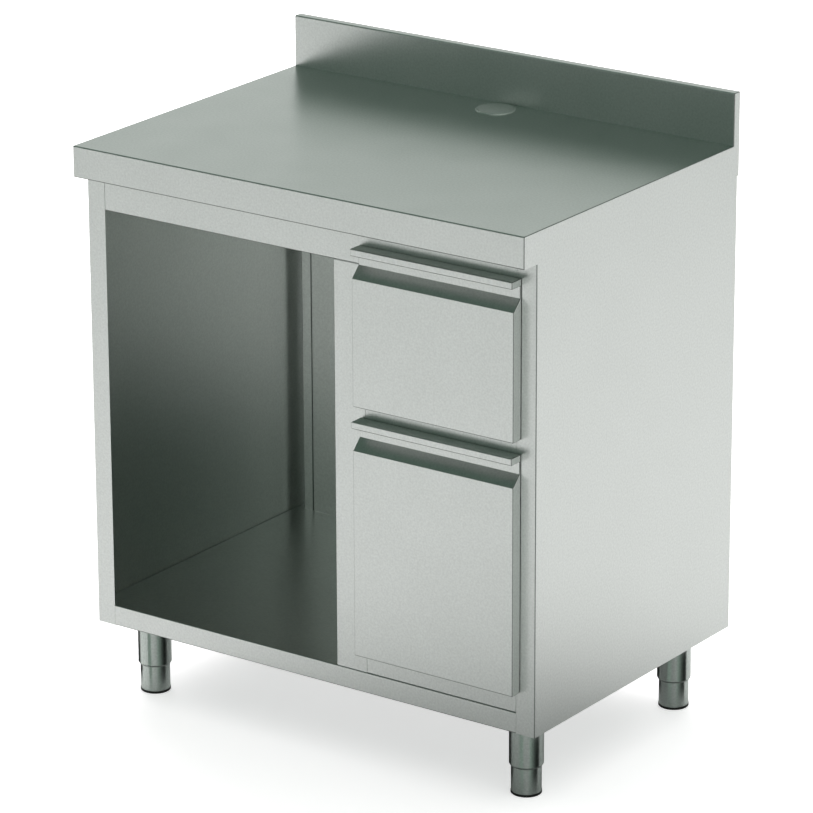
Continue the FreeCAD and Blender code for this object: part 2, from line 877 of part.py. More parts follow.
def make_drawer_fixings(name, bottom, box_bottom, box_height):
    """Screws from inside the box into the front, and buffers that meet the face frame."""
    screws = []
    head_y = front_back_y + box_sheet
    for x, z in drawer_screw_places(box_bottom, box_height):
        head = rod(m4_head_r, Vector(x, head_y, z), BACKWARDS, m4_head_height)
        shank = rod(m4_r, Vector(x, head_y, z), FORWARDS, m4_length)
        screws.append(fuse(head, shank))
    save(name + "_screws", *screws)

    buffer_x = ((front_left + divider_right) / 2, (stile_x + front_right) / 2)
    buffer_z = (bottom + buffer_from_edge, box_bottom + box_height + buffer_from_edge)
    buffers = [
        rod(buffer_r, Vector(x, front_back_y, z), BACKWARDS, front_gap - buffer_clearance)
        for x in buffer_x
        for z in buffer_z
    ]
    save(name + "_buffers", *buffers)


def across_bay(solid):
    """The same piece on the other side of the drawer bay."""
    return solid.mirror(Vector((divider_right + stile_x) / 2, 0, 0), Vector(1, 0, 0))


def runner_channel(x_web, x_edge, half_height, z, end_gap):
    """One member of a runner: a channel whose web is at x_web and whose flanges reach x_edge."""
    y_range = (
        face_y + runner_setback + end_gap,
        face_y + runner_setback + runner_length - end_gap,
    )
    upper = [(x_edge, z + half_height), (x_web, z + half_height)]
    lower = [(x_web, z - half_height), (x_edge, z - half_height)]
    path = upper + lower
    if x_edge < x_web:
        path = path[::-1]
    return folded(prism_y, path, runner_sheet, y_range)


def make_runners(name, z):
    """Telescopic runner of three nested channels on each side of a drawer."""
    cabinet_half = runner_height / 2
    middle_half = cabinet_half - runner_sheet - runner_play
    drawer_half = middle_half - runner_sheet - runner_play
    middle_web = runner_sheet + runner_screw_head_height + runner_web_gap
    members = {
        "cabinet": (0.0, runner_thickness - 4 * runner_edge_gap, cabinet_half, 0.0),
        "middle": (
            middle_web,
            runner_thickness - runner_sheet - runner_edge_gap,
            middle_half,
            runner_end_step,
        ),
        "drawer": (
            runner_thickness,
            middle_web + runner_sheet + runner_web_gap,
            drawer_half,
            2 * runner_end_step,
        ),
    }
    for member, (web, edge, half, end_gap) in members.items():
        channel = runner_channel(divider_right + web, divider_right + edge, half, z, end_gap)
        if member == "cabinet":
            holes = [
                rod(m4_r, Vector(divider_right, y, level), Vector(1, 0, 0), runner_sheet)
                for y, level in runner_screw_places
                if abs(level - z) < cabinet_half
            ]
            channel = drilled(channel, *holes)
        save(name + "_runner_" + member + "_left", channel)
        save(name + "_runner_" + member + "_right", across_bay(channel))


def make_drawer(name, bottom, top, box_bottom, box_height):
    make_drawer_front(name, bottom, top)
    make_drawer_liner(name, bottom, top, box_bottom, box_height)
    make_drawer_box(name, box_bottom, box_height)
    make_drawer_fixings(name, bottom, box_bottom, box_height)
    make_runners(name, box_bottom + runner_above_floor)


# ---------------------------------------------------------------- fasteners of the carcass

def make_carcass_fasteners():
    board_screws = []
    for x, y in board_screw_places:
        under = board_bottom - carcass_sheet
        head = rod(m4_head_r, Vector(x, y, under), -UP, m4_head_height)
        shank = rod(m4_r, Vector(x, y, under), UP, m4_length)
        board_screws.append(fuse(head, shank))
    save("worktop_screws", *board_screws)

    rivets = []
    for x, z in rivet_places:
        back_face = back_y + carcass_sheet
        head = rod(rivet_head_r, Vector(x, back_face, z), BACKWARDS, rivet_head_height)
        shank = rod(rivet_r, Vector(x, back_face, z), FORWARDS, 2 * carcass_sheet)
        bulb = rod(rivet_bulb_r, Vector(x, back_y - carcass_sheet, z), FORWARDS, rivet_head_height)
        rivets.append(fuse(head, shank, bulb))
    save("back_rivets", *rivets)

    runner_screws = []
    for y, z in runner_screw_places:
        seat_x = divider_right + runner_sheet
        head = rod(runner_screw_head_r, Vector(seat_x, y, z), Vector(1, 0, 0), runner_screw_head_height)
        shank = rod(m4_r, Vector(seat_x, y, z), Vector(-1, 0, 0), runner_screw_length)
        screw = fuse(head, shank)
        runner_screws += [screw, across_bay(screw)]
    save("runner_screws", *runner_screws)


# ---------------------------------------------------------------- the whole station

os.makedirs("parts", exist_ok=True)
make_worktop()
make_worktop_board()
make_cable_outlet()
make_side_panels()
make_base_deck()
make_face_frame()
make_divider()
make_runner_posts()
make_back()
make_bearers()
make_legs()
make_drawer("upper_drawer", upper_front_bottom, upper_front_top, upper_box_bottom, upper_box_height)
make_drawer("lower_drawer", lower_front_bottom, lower_front_top, lower_box_bottom, lower_box_height)
make_carcass_fasteners()
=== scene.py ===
# %% [markdown]
# # A waiter service station in stainless steel
#
# The station is folded and welded from ground stainless sheet. Its construction is already settled:
# every sheet, drawer, runner, leg and screw arrives as a fixed frame of named pieces, at real size.
# What is left for Blender is what the eye gets: the finish of each metal, the heads of the screws and
# rivets, and a plain studio to look at it in.

# %% Load the frame
import json
import math

import bmesh
import bpy
from mathutils import Matrix, Vector


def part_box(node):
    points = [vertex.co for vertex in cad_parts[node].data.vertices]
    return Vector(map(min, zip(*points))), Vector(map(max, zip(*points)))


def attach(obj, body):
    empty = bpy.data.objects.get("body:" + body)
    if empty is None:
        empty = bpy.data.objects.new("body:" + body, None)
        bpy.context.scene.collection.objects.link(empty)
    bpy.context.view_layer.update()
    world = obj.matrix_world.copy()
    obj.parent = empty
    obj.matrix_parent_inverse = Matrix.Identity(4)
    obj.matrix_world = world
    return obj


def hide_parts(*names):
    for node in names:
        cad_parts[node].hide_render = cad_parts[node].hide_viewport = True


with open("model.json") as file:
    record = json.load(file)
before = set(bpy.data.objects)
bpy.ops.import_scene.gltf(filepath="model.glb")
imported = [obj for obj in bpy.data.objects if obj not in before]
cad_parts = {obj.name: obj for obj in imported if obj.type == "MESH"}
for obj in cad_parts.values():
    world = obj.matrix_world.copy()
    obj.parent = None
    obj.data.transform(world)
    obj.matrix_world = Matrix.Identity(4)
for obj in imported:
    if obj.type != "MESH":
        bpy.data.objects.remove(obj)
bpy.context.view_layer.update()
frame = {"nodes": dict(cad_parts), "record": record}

nodes = frame["nodes"]

# %% [markdown]
# ## Two small helpers
#
# A finish is easiest to choose as a screen colour, such as a hex value picked from a sample card.
# Blender's shaders work in linear light, so one function does that conversion everywhere. The other
# helper adds one node to a tree, gives it its settings and plugs in its inputs, which keeps each
# material short enough to read as a recipe.

# %% Colours and nodes


def linear(hex_colour, alpha=1.0):
    """A screen colour such as C6C9C5 as the linear values that a shader wants."""
    channels = [int(hex_colour[i : i + 2], 16) / 255 for i in (0, 2, 4)]
    return [c / 12.92 if c <= 0.04045 else ((c + 0.055) / 1.055) ** 2.4 for c in channels] + [alpha]


def add(tree, kind, inputs=None, **settings):
    """Adds a node. An input is given by name or number: a value, a node's output, or a list of outputs."""
    made = tree.nodes.new(kind)
    for name, value in settings.items():
        setattr(made, name, value)
    for key, value in (inputs or {}).items():
        if isinstance(value, bpy.types.NodeSocket):
            tree.links.new(value, made.inputs[key])
        elif isinstance(value, list) and isinstance(value[0], bpy.types.NodeSocket):
            for output in value:
                tree.links.new(output, made.inputs[key])
        else:
            made.inputs[key].default_value = value
    return made


def new_material(name):
    """An empty material: its node tree, and the output that its shader goes to."""
    material = bpy.data.materials.new(name)
    material.use_nodes = True
    tree = material.node_tree
    tree.nodes.clear()
    return material, tree, add(tree, "ShaderNodeOutputMaterial")


MM = 0.001

print("steel grey in linear light:", [round(c, 3) for c in linear("D0D4D0")[:3]])

# %% [markdown]
# ## Wear along the folds
#
# Each fold is painted with a thin dark line of shade, which stands in for the dark that a bent sheet
# mirrors. A fold could be found with a pointiness map, but that depends on how finely a mesh is cut. The
# way the sheet faces is safer: only within a fold does it face two ways at once.

# %% Painted shade along the folds
# The colour of the painted shade that lines each fold.
FOLD_SHADE_COLOUR = "343E39"

# The two directions that a fold turns between, whether a fold the other way round counts too, and the
# product of the normal's two parts at which the painted shade starts and is complete. It is 0.5 in mid
# fold.
FOLDS = [
    ("X", "Y", True, 0.15, 0.38),
    ("X", "Z", True, 0.30, 0.44),
    ("Y", "Z", False, 0.10, 0.35),
]


def painted_fold_shade(tree, one, other, both_ways, least, most):
    """How much painted shade a fold gets: 1 along its middle, where the sheet faces both ways alike, and 0
    beside it.
    """
    product = add(tree, "ShaderNodeMath", {0: one, 1: other}, operation="MULTIPLY").outputs["Value"]
    if both_ways:
        product = add(tree, "ShaderNodeMath", {0: product}, operation="ABSOLUTE").outputs["Value"]
    line_shade = add(tree, "ShaderNodeMapRange", {"Value": product, "From Min": least, "From Max": most})
    return line_shade.outputs["Result"]


def painted_shade_of_all_folds(tree, amount):
    """The painted shade of every fold together, times an amount, and never above 1."""
    surface = add(tree, "ShaderNodeNewGeometry").outputs["Normal"]
    facing = add(tree, "ShaderNodeSeparateXYZ", {"Vector": surface}).outputs
    together = 0.0
    for one, other, *rest in FOLDS:
        line_shade = painted_fold_shade(tree, facing[one], facing[other], *rest)
        together = add(tree, "ShaderNodeMath", {0: line_shade, 1: together}, operation="ADD").outputs["Value"]
    shade_total = add(
        tree, "ShaderNodeMath", {0: together, 1: amount}, operation="MULTIPLY", use_clamp=True
    )
    return shade_total.outputs["Value"]


print("kinds of fold:", len(FOLDS))

# %% [markdown]
# ## Ground stainless sheet
#
# The sheets are austenitic stainless steel, ground and then lightly blasted so that fingerprints show
# less. Such a face has no visible direction: it shows a blurred picture of the room, broken up by a
# grain finer than a millimetre. It could be painted grey, but then it would look like plastic from the
# first turn of the camera. So it is a real metal here, with a high metallic value and the default IOR,
# and all that varies is how rough it is and how much it gives back. The real grain is too fine to show
# at this distance, so it is drawn a little coarser.

# %% Ground stainless sheet
GRAIN = 4.0 * MM  # the real grain is near 0.2 mm, which would vanish at this distance
CLOUD = 90 * MM  # slow change over a sheet, from rolling and from the grinding belt
CLOUD_ROUGHNESS = 0.015  # how much that changes the roughness, up and down


def stainless(name, colour, roughness, grain_strength, bump_height, fold_shade_amount=0.0, streak=0.0, dulled=0.0):
    """Stainless steel. A streak stretches its highlights along Z, and a dulled face scatters some light."""
    material, tree, output = new_material(name)
    place = add(tree, "ShaderNodeTexCoord").outputs["Object"]
    grain = add(tree, "ShaderNodeTexNoise", {"Vector": place, "Scale": 1 / GRAIN, "Detail": 2.0})
    cloud = add(tree, "ShaderNodeTexNoise", {"Vector": place, "Scale": 1 / CLOUD, "Detail": 3.0})
    brightness = add(
        tree,
        "ShaderNodeMapRange",
        {
            "Value": grain.outputs["Fac"],
            "From Min": 0.25,
            "From Max": 0.75,
            "To Min": 1 - grain_strength,
            "To Max": 1 + grain_strength,
        },
    )
    even = add(
        tree,
        "ShaderNodeHueSaturation",
        {"Color": linear(colour), "Value": brightness.outputs["Result"]},
    )
    # Along the folds the tone is mixed towards a painted dark line of shade.
    tone = add(
        tree,
        "ShaderNodeMixRGB",
        {
            "Fac": painted_shade_of_all_folds(tree, fold_shade_amount),
            "Color1": even.outputs["Color"],
            "Color2": linear(FOLD_SHADE_COLOUR),
        },
    )
    rough = add(
        tree,
        "ShaderNodeMapRange",
        {
            "Value": cloud.outputs["Fac"],
            "From Min": 0.3,
            "From Max": 0.7,
            "To Min": roughness - CLOUD_ROUGHNESS,
            "To Max": roughness + CLOUD_ROUGHNESS,
        },
    )
    bump = add(
        tree,
        "ShaderNodeBump",
        {"Height": grain.outputs["Fac"], "Strength": 1.0, "Distance": bump_height},
    )
    shader = add(
        tree,
        "ShaderNodeBsdfPrincipled",
        {
            "Base Color": tone.outputs["Color"],
            "Metallic": 1 - dulled,
            "Roughness": rough.outputs["Result"],
            "Normal": bump.outputs["Normal"],
            "Anisotropic": streak,
        },
    )
    if streak:
        along = add(tree, "ShaderNodeCombineXYZ", {"Z": 1.0})
        tree.links.new(along.outputs["Vector"], shader.inputs["Tangent"])
    tree.links.new(shader.outputs["BSDF"], output.inputs["Surface"])
    return material


ground_stainless = stainless("ground_stainless_sheet", "D4D8D5", 0.30, 0.08, 0.007 * MM, fold_shade_amount=0.75)
print("finish:", ground_stainless.name)

# %% [markdown]
# ## Turned and drawn stainless
#
# The legs are drawn tube, polished across their length, so their highlights stretch into upright
# stripes. A streak along Z does that without modelling any groove. The rim and lid of the cable outlet
# are turned on a lathe and then dulled, and cloths wear them most, so a seventh of what they give back is
# scattered light.

# %% Turned and drawn stainless
drawn_stainless = stainless("drawn_stainless_tube", "CAD2CD", 0.30, 0.10, 0.004 * MM, streak=0.85)
turned_stainless = stainless("turned_stainless", "CBD4CE", 0.34, 0.05, 0.004 * MM, dulled=0.14)
print("finishes:", drawn_stainless.name, turned_stainless.name)

# %% [markdown]
# ## Zinc-plated steel
#
# Runners, bearers and screws are mild steel with a bright zinc coat. Zinc grows in small crystals, and
# the bath leaves a faint blue tone. Plain noise would be simpler, but it has no edges and crystals do.
# So a cell pattern of about 2 mm gives the crystals, and each cell has its own roughness.

# %% Zinc-plated steel
SPANGLE = 2.2 * MM  # real crystals on a bright zinc coat are finer, and wouldn't show


def zinc_plated_steel():
    material, tree, output = new_material("zinc_plated_steel")
    place = add(tree, "ShaderNodeTexCoord").outputs["Object"]
    spangle = add(tree, "ShaderNodeTexVoronoi", {"Vector": place, "Scale": 1 / SPANGLE})
    brightness = add(
        tree,
        "ShaderNodeMapRange",
        {"Value": spangle.outputs["Color"], "To Min": 0.92, "To Max": 1.06},
    )
    tone = add(
        tree,
        "ShaderNodeHueSaturation",
        {"Color": linear("BFC4C6"), "Value": brightness.outputs["Result"]},
    )
    rough = add(
        tree,
        "ShaderNodeMapRange",
        {"Value": spangle.outputs["Color"], "To Min": 0.30, "To Max": 0.42},
    )
    shader = add(
        tree,
        "ShaderNodeBsdfPrincipled",
        {
            "Base Color": tone.outputs["Color"],
            "Metallic": 1.0,
            "Roughness": rough.outputs["Result"],
        },
    )
    tree.links.new(shader.outputs["BSDF"], output.inputs["Surface"])
    return material


zinc_steel = zinc_plated_steel()
print("finish:", zinc_steel.name)

# %% [markdown]
# ## Chipboard
#
# A board stiffens the worktop from below. It is pressed from wood chips of a few millimetres and
# sealed against damp, so it is seen as many small flakes, each with its own brown, under a thin dull
# coat. A picture laid over it would stretch at its edges. A pattern in space runs through it instead,
# as the chips do.

# %% Chipboard
CHIP = 4.0 * MM


def sealed_chipboard():
    material, tree, output = new_material("sealed_chipboard")
    place = add(tree, "ShaderNodeTexCoord").outputs["Object"]
    chips = add(tree, "ShaderNodeTexVoronoi", {"Vector": place, "Scale": 1 / CHIP})
    ramp = add(tree, "ShaderNodeValToRGB", {"Fac": chips.outputs["Color"]})
    ramp.color_ramp.elements[0].color = linear("8E7350")
    ramp.color_ramp.elements[1].color = linear("C4A87C")
    bump = add(
        tree,
        "ShaderNodeBump",
        {"Height": chips.outputs["Distance"], "Strength": 0.5, "Distance": 0.1 * MM},
    )
    shader = add(
        tree,
        "ShaderNodeBsdfPrincipled",
        {
            "Base Color": ramp.outputs["Color"],
            "Roughness": 0.62,
            "IOR": 1.5,
            "Normal": bump.outputs["Normal"],
        },
    )
    tree.links.new(shader.outputs["BSDF"], output.inputs["Surface"])
    return material


chipboard = sealed_chipboard()
print("finish:", chipboard.name)

# %% [markdown]
# ## Black mouldings
#
# The tips of the feet are moulded polyamide with a fine spark-eroded texture from the mould. The
# buffers behind the drawer fronts are rubber, which is duller. Neither is a pure black: the light that
# the texture scatters lifts both to a very dark grey. The texture could be modelled, but it is far
# smaller than the pieces, so a bump does.

# %% Black mouldings
MOULD_TEXTURE = 0.6 * MM
TEXTURE_ROUGHNESS = 0.06  # how much the texture changes the roughness, up and down


def black_moulding(name, colour, roughness, ior):
    material, tree, output = new_material(name)
    place = add(tree, "ShaderNodeTexCoord").outputs["Object"]
    texture = add(tree, "ShaderNodeTexNoise", {"Vector": place, "Scale": 1 / MOULD_TEXTURE})
    rough = add(
        tree,
        "ShaderNodeMapRange",
        {
            "Value": texture.outputs["Fac"],
            "To Min": roughness - TEXTURE_ROUGHNESS,
            "To Max": roughness + TEXTURE_ROUGHNESS,
        },
    )
    bump = add(
        tree,
        "ShaderNodeBump",
        {"Height": texture.outputs["Fac"], "Strength": 0.6, "Distance": 0.05 * MM},
    )
    shader = add(
        tree,
        "ShaderNodeBsdfPrincipled",
        {
            "Base Color": linear(colour),
            "Roughness": rough.outputs["Result"],
            "IOR": ior,
            "Normal": bump.outputs["Normal"],
        },
    )
    tree.links.new(shader.outputs["BSDF"], output.inputs["Surface"])
    return material


black_polyamide = black_moulding("black_polyamide", "0C0F0D", 0.45, 1.53)
black_rubber = black_moulding("black_rubber", "191919", 0.75, 1.52)
print("finishes:", black_polyamide.name, black_rubber.name)

# %% [markdown]
# ## Dressing the frame
#
# Each piece of the frame names the material it is made of, so the finishes are handed out by that
# name. They could be given piece by piece, but a name can't be forgotten. The legs and their adjustable
# feet are picked out, because they are tube, although their steel is that of the sheet.

# %% Finishes for the frame's pieces
finish_of_slot = {
    "satin_stainless": ground_stainless,
    "polished_steel": turned_stainless,
    "zinc_plated_steel": zinc_steel,
    "coated_board": chipboard,
    "black_plastic": black_polyamide,
    "black_rubber": black_rubber,
}


def dress(node, material):
    mesh = nodes[node].data
    mesh.materials.clear()
    mesh.materials.append(material)


for part in frame["record"]["subparts"]:
    name = part["node"]
    is_tube = name.startswith("leg_sleeve") or name.startswith("foot_") and "tip" not in name
    dress(name, drawn_stainless if is_tube else finish_of_slot[part["material_slot"]])

# %% [markdown]
# ## Screws and rivets
#
# The frame shows each fastener as a plain disc on a shank. Real ones are pressed: a pan-head screw has a
# crowned head with a cross recess, and a blind rivet has a low dome with a hole where its pin broke off.
# They repeat, so one node tree makes a single fastener and sets it on every seat, with a random spin,
# because nobody lines up the recesses of screws. A fixed seed keeps the spins the same in each run.
#
# Each seat is read off the frame. A node of many fasteners is loose triangles, so a copy is merged
# first, then split into its separate solids, and the face that the head rests on lies one head height
# below the outermost point.

# %% Where the fasteners sit
M4_HEAD_HEIGHT = 2.6 * MM
RIVET_HEAD_HEIGHT = 1.2 * MM
DOWN = Vector((0.0, 0.0, -1.0))
BACK = Vector((0.0, 1.0, 0.0))


def solids_of(node):
    """The points of each separate solid in a node of the frame."""
    copy = bmesh.new()
    copy.from_mesh(nodes[node].data)
    bmesh.ops.remove_doubles(copy, verts=copy.verts, dist=0.001 * MM)
    waiting = set(copy.verts)
    solids = []
    while waiting:
        reached = [waiting.pop()]
        for vertex in reached:
            for edge in vertex.link_edges:
                other = edge.other_vert(vertex)
                if other in waiting:
                    waiting.remove(other)
                    reached.append(other)
        solids.append([vertex.co.copy() for vertex in reached])
    copy.free()
    return solids


def seats_of(node, outwards, head_height):
    """The middle of the face under each head in a node, for heads that point outwards."""
    seats = []
    for points in solids_of(node):
        low = Vector([min(point[k] for point in points) for k in range(3)])
        high = Vector([max(point[k] for point in points) for k in range(3)])
        middle = (low + high) / 2
        top = max(point.dot(outwards) for point in points)
        seats.append(middle + outwards * (top - head_height - middle.dot(outwards)))
    return sorted(seats, key=lambda seat: tuple(round(c, 4) for c in seat))


print("worktop screws:", len(seats_of("worktop_screws", DOWN, M4_HEAD_HEIGHT)))
print("rivets:", len(seats_of("back_rivets", BACK, RIVET_HEAD_HEIGHT)))

# %% [markdown]
# ### The head
#
# A pressed head is a barrel whose top is part of a large ball, so a short cylinder is cut off by a
# sphere. A head could also be turned from a profile, but a cut keeps its two radii as plain inputs.

# %% The head of a fastener
SIDES = 24


def raised(tree, mesh, height):
    """A mesh moved up by a height."""
    step = add(tree, "ShaderNodeCombineXYZ", {"Z": height}).outputs["Vector"]
    return add(tree, "GeometryNodeTransform", {"Geometry": mesh, "Translation": step}).outputs[0]


def crowned_head(tree, given):
    """A barrel cut off by a large ball, which gives it its crown. It stands on the seat."""
    half_head = add(tree, "ShaderNodeMath", {0: given["Head Height"], 1: 0.5}, operation="MULTIPLY")
    barrel = add(
        tree,
        "GeometryNodeMeshCylinder",
        {"Vertices": SIDES, "Radius": given["Head Radius"], "Depth": given["Head Height"]},
    )
    ball_middle = add(
        tree,
        "ShaderNodeMath",
        {0: given["Head Height"], 1: given["Crown Radius"]},
        operation="SUBTRACT",
    )
    ball = add(
        tree,
        "GeometryNodeMeshUVSphere",
        {"Segments": 2 * SIDES, "Rings": 2 * SIDES, "Radius": given["Crown Radius"]},
    )
    head = add(
        tree,
        "GeometryNodeMeshBoolean",
        {
            "Mesh 2": [
                raised(tree, barrel.outputs["Mesh"], half_head.outputs["Value"]),
                raised(tree, ball.outputs["Mesh"], ball_middle.outputs["Value"]),
            ]
        },
        operation="INTERSECT",
        solver="EXACT",
    )
    return head.outputs["Mesh"]


print("a head has", SIDES, "sides")

# %% [markdown]
# ### The shank
#
# The shank is a plain bar with a rounded tip. On a rivet the tip is a wide bulb, which the pin pulls
# out of the shank on the blind side. The thread of a screw is left out, because it is always hidden.

# %% The shank and tip of a fastener


def with_shank(tree, given, head):
    """A head with its shank and tip below the seat."""
    down_to_tip = add(tree, "ShaderNodeMath", {0: given["Shank Length"], 1: -1.0}, operation="MULTIPLY")
    half_shank = add(tree, "ShaderNodeMath", {0: given["Shank Length"], 1: -0.5}, operation="MULTIPLY")
    shank = add(
        tree,
        "GeometryNodeMeshCylinder",
        {"Vertices": SIDES, "Radius": given["Shank Radius"], "Depth": given["Shank Length"]},
    )
    tip_ball = add(
        tree, "GeometryNodeMeshUVSphere", {"Segments": SIDES, "Rings": SIDES // 2, "Radius": 1.0}
    )
    tip_size = add(
        tree,
        "ShaderNodeCombineXYZ",
        {"X": given["Tip Radius"], "Y": given["Tip Radius"], "Z": given["Tip Height"]},
    )
    tip = add(
        tree,
        "GeometryNodeTransform",
        {"Geometry": tip_ball.outputs["Mesh"], "Scale": tip_size.outputs["Vector"]},
    )
    blank = add(
        tree,
        "GeometryNodeMeshBoolean",
        {
            "Mesh 2": [
                head,
                raised(tree, shank.outputs["Mesh"], half_shank.outputs["Value"]),
                raised(tree, tip.outputs["Geometry"], down_to_tip.outputs["Value"]),
            ]
        },
        operation="UNION",
        solver="EXACT",
    )
    return blank.outputs["Mesh"]


print("a tip has", SIDES // 2, "rings")

# %% [markdown]
# ### The recess
#
# A screw has a cross recess for the driver, and a rivet has the hole of its broken pin. Both could be
# dark marks, but a cut catches the light on its walls as the real one does. Each cutter stands half
# above the top of the head, so that it cuts cleanly through the crown.

# %% The recess of a fastener
BAR_SHARE = 0.24  # the width of a cross recess's bar, as a share of its length


def cross_cutters(tree, given, height):
    """Two bars that cross."""
    bar = add(tree, "ShaderNodeMath", {0: given["Recess Size"], 1: BAR_SHARE}, operation="MULTIPLY")
    cutters = []
    for long_side, short_side in (("X", "Y"), ("Y", "X")):
        sides = {long_side: given["Recess Size"], short_side: bar.outputs["Value"], "Z": height}
        size = add(tree, "ShaderNodeCombineXYZ", sides).outputs["Vector"]
        cutters.append(add(tree, "GeometryNodeMeshCube", {"Size": size}).outputs["Mesh"])
    return cutters


def pin_cutters(tree, given, height):
    """One round pin."""
    radius = add(tree, "ShaderNodeMath", {0: given["Recess Size"], 1: 0.5}, operation="MULTIPLY")
    pin = add(
        tree,
        "GeometryNodeMeshCylinder",
        {"Vertices": SIDES, "Radius": radius.outputs["Value"], "Depth": height},
    )
    return [pin.outputs["Mesh"]]


def with_recess(tree, given, blank, make_cutters):
    """A blank whose head is cut by the cutters."""
    twice_depth = add(tree, "ShaderNodeMath", {0: given["Recess Depth"], 1: 2.0}, operation="MULTIPLY")
    cutters = make_cutters(tree, given, twice_depth.outputs["Value"])
    pressed = add(
        tree,
        "GeometryNodeMeshBoolean",
        {
            "Mesh 1": blank,
            "Mesh 2": [raised(tree, cutter, given["Head Height"]) for cutter in cutters],
        },
        operation="DIFFERENCE",
        solver="EXACT",
    )
    return pressed.outputs["Mesh"]


print("a bar takes up", BAR_SHARE, "of the recess's length")

# %% [markdown]
# ### One on each seat
#
# Each fastener is turned until it points outwards, then spun about its own axis by a random angle. They
# could be copied by a loop in the script, but points with instances keep all of them in one tree.

# %% Setting the fasteners on their seats


def on_each_seat(tree, given, fastener):
    """One fastener on each seat, turned to the axis and spun about it."""
    turn = add(tree, "FunctionNodeAlignRotationToVector", {"Vector": given["Axis"]}, axis="Z")
    chance = add(
        tree,
        "FunctionNodeRandomValue",
        {2: 0.0, 3: 2 * math.pi, "Seed": given["Seed"]},
        data_type="FLOAT",
    )
    spin = add(
        tree, "FunctionNodeAxisAngleToRotation", {"Axis": (0.0, 0.0, 1.0), "Angle": chance.outputs[1]}
    )
    rotation = add(
        tree,
        "FunctionNodeRotateRotation",
        {"Rotation": turn.outputs["Rotation"], "Rotate By": spin.outputs["Rotation"]},
        rotation_space="LOCAL",
    )
    placed = add(
        tree,
        "GeometryNodeInstanceOnPoints",
        {"Points": given["Seats"], "Instance": fastener, "Rotation": rotation.outputs["Rotation"]},
    )
    return add(tree, "GeometryNodeRealizeInstances", {"Geometry": placed.outputs[0]}).outputs[0]


print("each is spun by up to", round(math.degrees(2 * math.pi)), "degrees")

# %% [markdown]
# ### The whole tree
#
# A screw and a rivet differ only in their sizes and their recess, so one function builds both trees.
# Every size is a named input, and the tree ends with the finish.

# %% The tree that makes a fastener
FASTENER_SIZES = ["Head Radius", "Head Height", "Crown Radius", "Recess Size", "Recess Depth"]
FASTENER_SIZES += ["Shank Radius", "Shank Length", "Tip Radius", "Tip Height"]


def fastener_tree(name, make_cutters):
    """A tree that sets one pressed fastener on each point, with its head along the axis."""
    tree = bpy.data.node_groups.new(name, "GeometryNodeTree")
    sockets = tree.interface
    sockets.new_socket("Seats", in_out="INPUT", socket_type="NodeSocketGeometry")
    for size in FASTENER_SIZES:
        sockets.new_socket(size, in_out="INPUT", socket_type="NodeSocketFloat")
    sockets.new_socket("Axis", in_out="INPUT", socket_type="NodeSocketVector")
    sockets.new_socket("Seed", in_out="INPUT", socket_type="NodeSocketInt")
    sockets.new_socket("Finish", in_out="INPUT", socket_type="NodeSocketMaterial")
    sockets.new_socket("Fasteners", in_out="OUTPUT", socket_type="NodeSocketGeometry")
    given = add(tree, "NodeGroupInput").outputs

    blank = with_shank(tree, given, crowned_head(tree, given))
    pressed = with_recess(tree, given, blank, make_cutters)
    real = on_each_seat(tree, given, pressed)
    finished = add(tree, "GeometryNodeSetMaterial", {"Geometry": real, "Material": given["Finish"]})
    add(tree, "NodeGroupOutput", {"Fasteners": finished.outputs["Geometry"]})
    return tree


screw_tree = fastener_tree("pan_head_screws", cross_cutters)
rivet_tree = fastener_tree("blind_rivets", pin_cutters)
print("trees:", screw_tree.name, len(screw_tree.nodes), "nodes,", rivet_tree.name, len(rivet_tree.nodes))

# %% [markdown]
# ### Making them
#
# The sizes are those of common M4 pan-head screws and 4 mm blind rivets, and the length comes from the
# frame. The tree could stay live on the piece, but a plain mesh is safer to hand on, so each set is
# turned into one before it takes its node's place.

# %% Making the fasteners
M4_HEAD_RADIUS = 3.8 * MM
RIVET_HEAD_RADIUS = 4.0 * MM
SHARP_ANGLE = math.radians(30)  # an edge that turns more than this isn't smoothed


def crown_radius(head_radius, crown_height):
    """The radius of a ball whose cap is this wide and this high."""
    return (head_radius**2 + crown_height**2) / (2 * crown_height)


PAN_HEAD_SCREW = {
    "Head Radius": M4_HEAD_RADIUS,
    "Head Height": M4_HEAD_HEIGHT,
    "Crown Radius": crown_radius(M4_HEAD_RADIUS, 1.2 * MM),
    "Recess Size": 4.4 * MM,
    "Recess Depth": 1.4 * MM,
    "Shank Radius": 2.0 * MM,
    "Tip Radius": 2.0 * MM,
    "Tip Height": 1.0 * MM,
}
BLIND_RIVET = {
    "Head Radius": RIVET_HEAD_RADIUS,
    "Head Height": RIVET_HEAD_HEIGHT,
    "Crown Radius": crown_radius(RIVET_HEAD_RADIUS, 0.9 * MM),
    "Recess Size": 2.2 * MM,
    "Recess Depth": 0.7 * MM,
    "Shank Radius": 2.0 * MM,
    "Tip Radius": 3.0 * MM,
    "Tip Height": 0.6 * MM,
}


